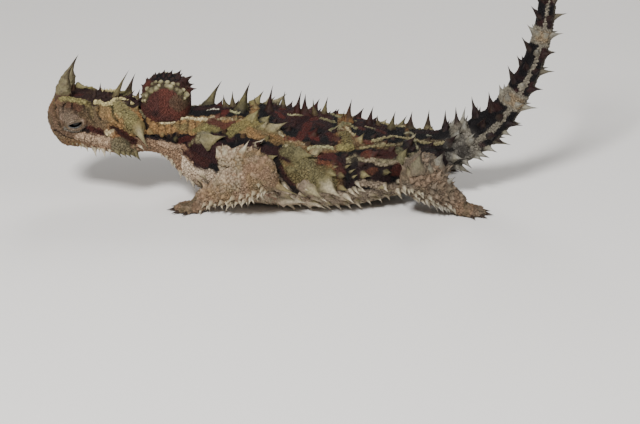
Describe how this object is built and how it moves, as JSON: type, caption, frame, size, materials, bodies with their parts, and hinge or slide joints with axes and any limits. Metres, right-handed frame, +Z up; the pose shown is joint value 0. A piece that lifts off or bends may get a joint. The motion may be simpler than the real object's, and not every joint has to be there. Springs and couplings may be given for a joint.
{
  "type": "thorny devil lizard display model",
  "caption": "Life-size thorny devil lizard at rest on its belly, spiny all over, with raised tail, folded legs and a rounded false head on the nape.",
  "frame": {"origin": "middle of the small flat under the belly, on the floor that the animal rests on", "axes": "-X towards the snout, -Y towards the animal's left flank, +Z up"},
  "size_m": [0.1327, 0.0489, 0.0845],
  "materials": {
    "skin": "dry, scaly, matt",
    "horn": "dull keratin",
    "eye": "wet gloss"
  },
  "bodies": {
    "root": {"head": "skin", "left_eye": "eye", "right_eye": "eye", "left_brow_horn": "horn", "right_brow_horn": "horn", "neck": "skin", "nuchal_hump": "skin", "torso": "skin", "tail_base": "skin", "tail_middle": "skin", "tail_tip": "skin", "left_upper_arm": "skin", "left_forearm": "skin", "left_hand": "skin", "right_upper_arm": "skin", "right_forearm": "skin", "right_hand": "skin", "left_thigh": "skin", "left_shin": "skin", "left_foot": "skin", "right_thigh": "skin", "right_shin": "skin", "right_foot": "skin"}
  },
  "joints": []
}
